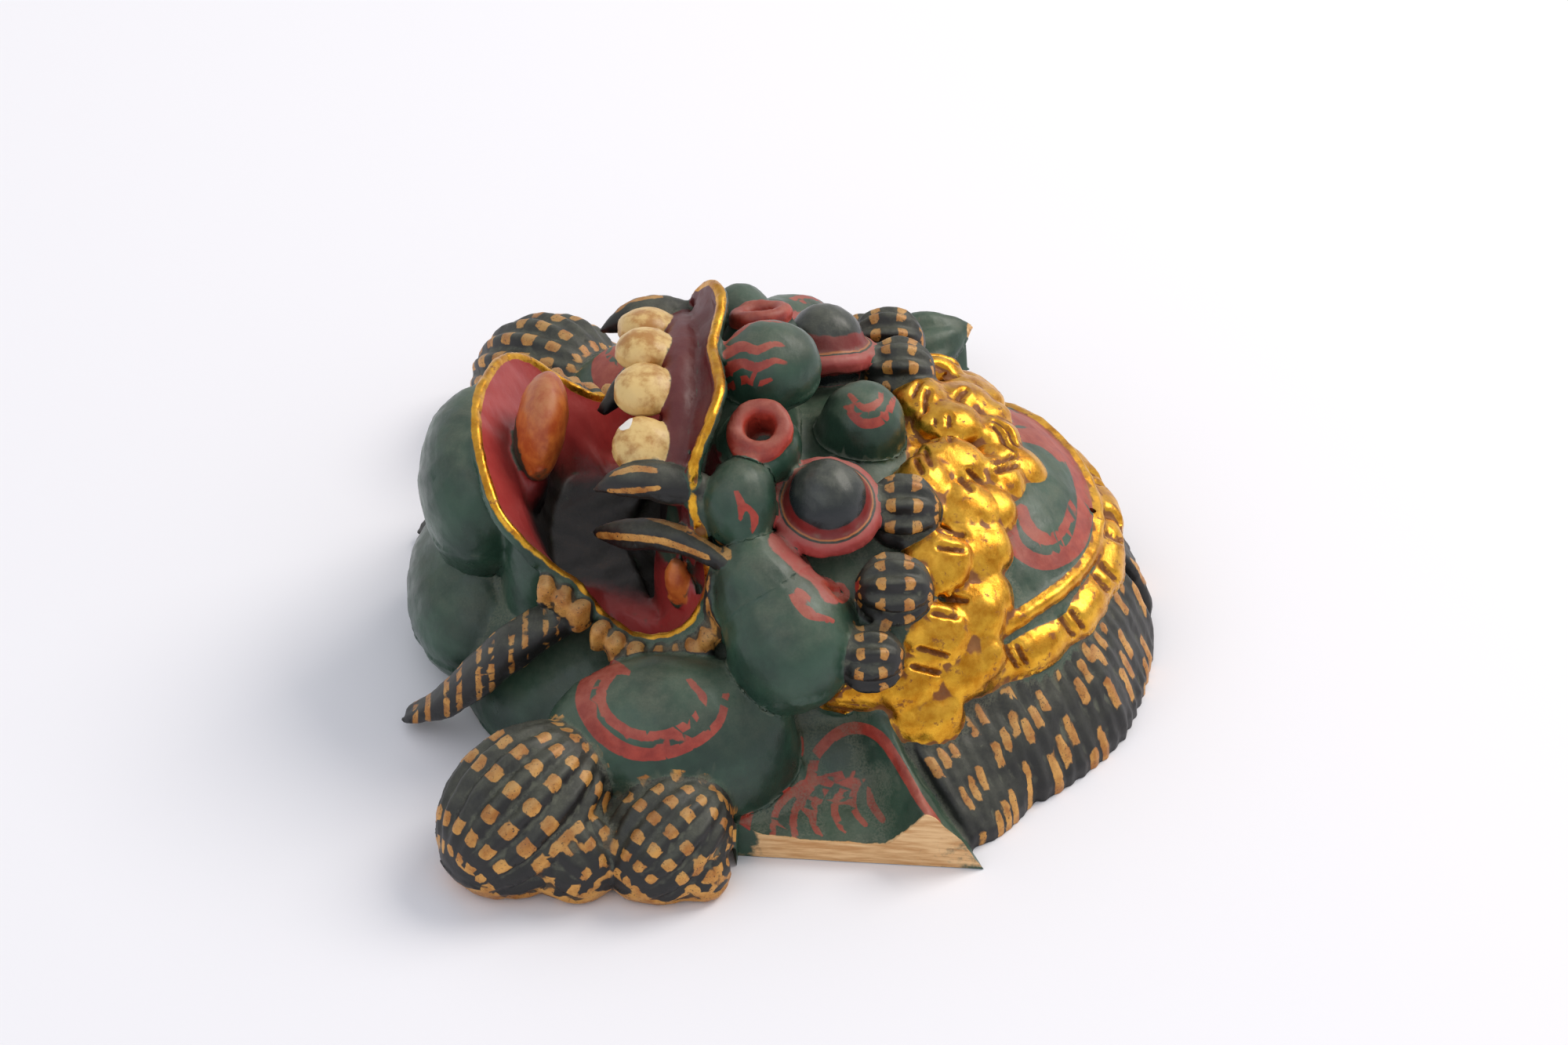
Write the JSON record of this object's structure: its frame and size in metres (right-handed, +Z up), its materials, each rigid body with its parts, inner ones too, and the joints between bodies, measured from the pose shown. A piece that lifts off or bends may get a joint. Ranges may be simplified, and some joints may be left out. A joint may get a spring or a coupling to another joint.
{
  "type": "barong mask",
  "caption": "Carved and painted wooden barong mask: open fanged mouth, round eyes, curled beard, domed crown with gilded leaves, hollow back; one ear broken.",
  "frame": {"origin": "under the middle of the mask, on the plane that the rim of its hollow back rests on", "axes": "+X from the chin to the crown, +Y across the face to the whole ear, +Z up, the way the face looks"},
  "size_m": [0.1894, 0.2088, 0.0962],
  "materials": {
    "painted_wood": "carved wood under satin dark green, black and red paint, worn gold leaf and dust, bare where the ear is broken"
  },
  "bodies": {
    "root": {"mask": "painted_wood"}
  },
  "joints": []
}
